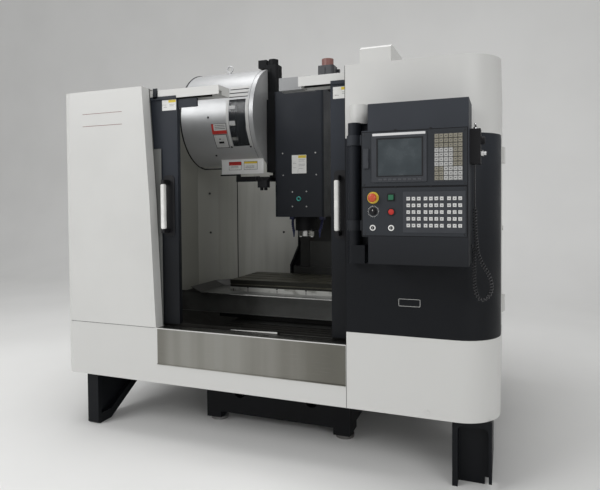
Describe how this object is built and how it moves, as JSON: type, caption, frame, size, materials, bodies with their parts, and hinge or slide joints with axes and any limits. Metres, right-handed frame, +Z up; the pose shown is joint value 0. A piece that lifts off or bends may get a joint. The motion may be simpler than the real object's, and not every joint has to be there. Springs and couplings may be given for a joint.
{
  "type": "cnc machining center",
  "caption": "Vertical machining center with a sheet metal cabin, open sliding doors, a moving table, a spindle head, an arm type tool changer and a swivelling control box.",
  "frame": {"origin": "middle of the footprint on the floor, under the feet", "axes": "+Z up, the front with the doors faces -Y, +X is to the right seen from the front"},
  "size_m": [2.62, 2.192, 2.5385],
  "materials": {
    "white_paint": "satin",
    "dark_paint": "satin",
    "casting_paint": "painted",
    "grey_paint": "satin",
    "bright_steel": "ground",
    "dull_steel": "dull",
    "stainless": "brushed",
    "stainless_satin": "satin",
    "ground_iron": "ground",
    "motor_paint": "satin",
    "blue_plastic": "gloss",
    "window_glass": "clear",
    "handle_plastic": "satin",
    "bezel_plastic": "satin",
    "screen_glass": "gloss",
    "black_plastic": "matte",
    "red_plastic": "gloss",
    "green_plastic": "gloss",
    "cord_rubber": "matte"
  },
  "bodies": {
    "enclosure": {"base_casting": "casting_paint", "leveling_feet": "dull_steel", "enclosure_legs": "dark_paint", "fixed_slideways": "bright_steel", "axis_motors": "motor_paint", "column_casting": "casting_paint", "column_cover": "stainless", "y_cover_front": "dull_steel", "front_panel_left": "white_paint", "front_trough": "white_paint", "stainless_panel": "stainless", "right_lower_panel": "white_paint", "right_middle_panel": "dark_paint", "right_upper_panel": "white_paint", "left_side_panel": "white_paint", "right_side_panel": "white_paint", "rear_panels": "white_paint", "inner_walls": "grey_paint", "chip_pan": "dull_steel", "top_beams": "white_paint", "door_frame": "grey_paint", "pendant_column": "dark_paint", "magazine_cover": "stainless_satin", "changer_gearbox": "casting_paint", "electrical_cabinet": "white_paint"},
    "saddle": {"saddle_casting": "casting_paint", "saddle_apron": "dull_steel", "x_slideways": "bright_steel", "x_motor": "motor_paint"},
    "table": {"work_table": "ground_iron", "table_tray": "dull_steel"},
    "second_cover": {"y_cover_second": "dull_steel"},
    "third_cover": {"y_cover_third": "dull_steel"},
    "head": {"head_casting": "casting_paint", "head_cover": "dark_paint", "spindle_motor": "motor_paint", "spindle_bearings": "bright_steel", "coolant_nozzles": "blue_plastic"},
    "spindle_shaft": {"spindle": "bright_steel"},
    "left_sliding_door": {"left_door": "dark_paint", "left_window": "window_glass", "left_handle": "handle_plastic"},
    "right_sliding_door": {"right_door": "dark_paint", "right_window": "window_glass", "right_handle": "handle_plastic"},
    "pendant": {"pendant_box": "dark_paint", "display_bezel": "bezel_plastic", "display_screen": "screen_glass", "key_panels": "black_plastic", "handwheel_unit": "black_plastic", "curly_cord": "cord_rubber"},
    "emergency_stop": {"emergency_button": "red_plastic"},
    "start_key": {"start_button": "green_plastic"},
    "stop_key": {"stop_button": "red_plastic"},
    "override_dial": {"override_knob": "black_plastic"},
    "handwheel": {"handwheel_knob": "black_plastic"},
    "magazine": {"tool_magazine": "dark_paint"},
    "change_arm": {"tool_arm": "bright_steel"},
    "side_panel_door": {"side_door": "white_paint"},
    "cabinet_panel_door": {"cabinet_door": "white_paint"}
  },
  "joints": [
    {"name": "saddle_slide", "type": "slide", "parent": "enclosure", "child": "saddle", "axis": [0, 1, 0], "range_m": [-0.11, 0.29]},
    {"name": "table_slide", "type": "slide", "parent": "saddle", "child": "table", "axis": [1, 0, 0], "range_m": [-0.3, 0.3]},
    {"name": "second_cover_slide", "type": "slide", "parent": "enclosure", "child": "second_cover", "axis": [0, 1, 0], "range_m": [-0.037, 0.097]},
    {"name": "third_cover_slide", "type": "slide", "parent": "enclosure", "child": "third_cover", "axis": [0, 1, 0], "range_m": [-0.0734, 0.1934]},
    {"name": "head_slide", "type": "slide", "parent": "enclosure", "child": "head", "axis": [0, 0, 1], "range_m": [-0.185, 0.315]},
    {"name": "spindle_turn", "type": "hinge", "parent": "head", "child": "spindle_shaft", "pos_m": [-0.01, 0.106, 1.165], "axis": [0, 0, 1], "continuous": true},
    {"name": "left_door_slide", "type": "slide", "parent": "enclosure", "child": "left_sliding_door", "axis": [1, 0, 0], "range_m": [0, 0.496]},
    {"name": "right_door_slide", "type": "slide", "parent": "enclosure", "child": "right_sliding_door", "axis": [-1, 0, 0], "range_m": [0, 0.454]},
    {"name": "pendant_swing", "type": "hinge", "parent": "enclosure", "child": "pendant", "pos_m": [0.608, -0.884, 1.5], "axis": [0, 0, -1], "range_deg": [0, 80]},
    {"name": "emergency_press", "type": "slide", "parent": "pendant", "child": "emergency_stop", "axis": [0, 1, 0], "range_m": [0, 0.006], "stiffness_N_per_m": 600},
    {"name": "start_press", "type": "slide", "parent": "pendant", "child": "start_key", "axis": [0, 1, 0], "range_m": [0, 0.004], "stiffness_N_per_m": 400},
    {"name": "stop_press", "type": "slide", "parent": "pendant", "child": "stop_key", "axis": [0, 1, 0], "range_m": [0, 0.004], "stiffness_N_per_m": 400},
    {"name": "override_turn", "type": "hinge", "parent": "pendant", "child": "override_dial", "pos_m": [0.744, -1.064, 1.357], "axis": [0, 1, 0], "range_deg": [-140, 140]},
    {"name": "handwheel_turn", "type": "hinge", "parent": "pendant", "child": "handwheel", "pos_m": [1.21, -0.949, 1.672], "axis": [1, 0, 0], "continuous": true},
    {"name": "magazine_turn", "type": "hinge", "parent": "enclosure", "child": "magazine", "pos_m": [-0.41, 0.121, 2.01], "axis": [1, 0, 0], "continuous": true},
    {"name": "arm_drop", "type": "slide", "parent": "enclosure", "child": "change_arm", "axis": [0, 0, 1], "range_m": [-0.115, 0]},
    {"name": "side_door_swing", "type": "hinge", "parent": "enclosure", "child": "side_panel_door", "pos_m": [1.301, -0.324, 1.22], "axis": [0, 0, -1], "range_deg": [0, 105]},
    {"name": "cabinet_door_swing", "type": "hinge", "parent": "enclosure", "child": "cabinet_panel_door", "pos_m": [1.23, 1.082, 1.16], "axis": [0, 0, -1], "range_deg": [0, 105]}
  ],
  "couplings": [
    {"joint": "second_cover_slide", "follows": "saddle_slide", "ratio": 0.33333},
    {"joint": "third_cover_slide", "follows": "saddle_slide", "ratio": 0.66667}
  ]
}
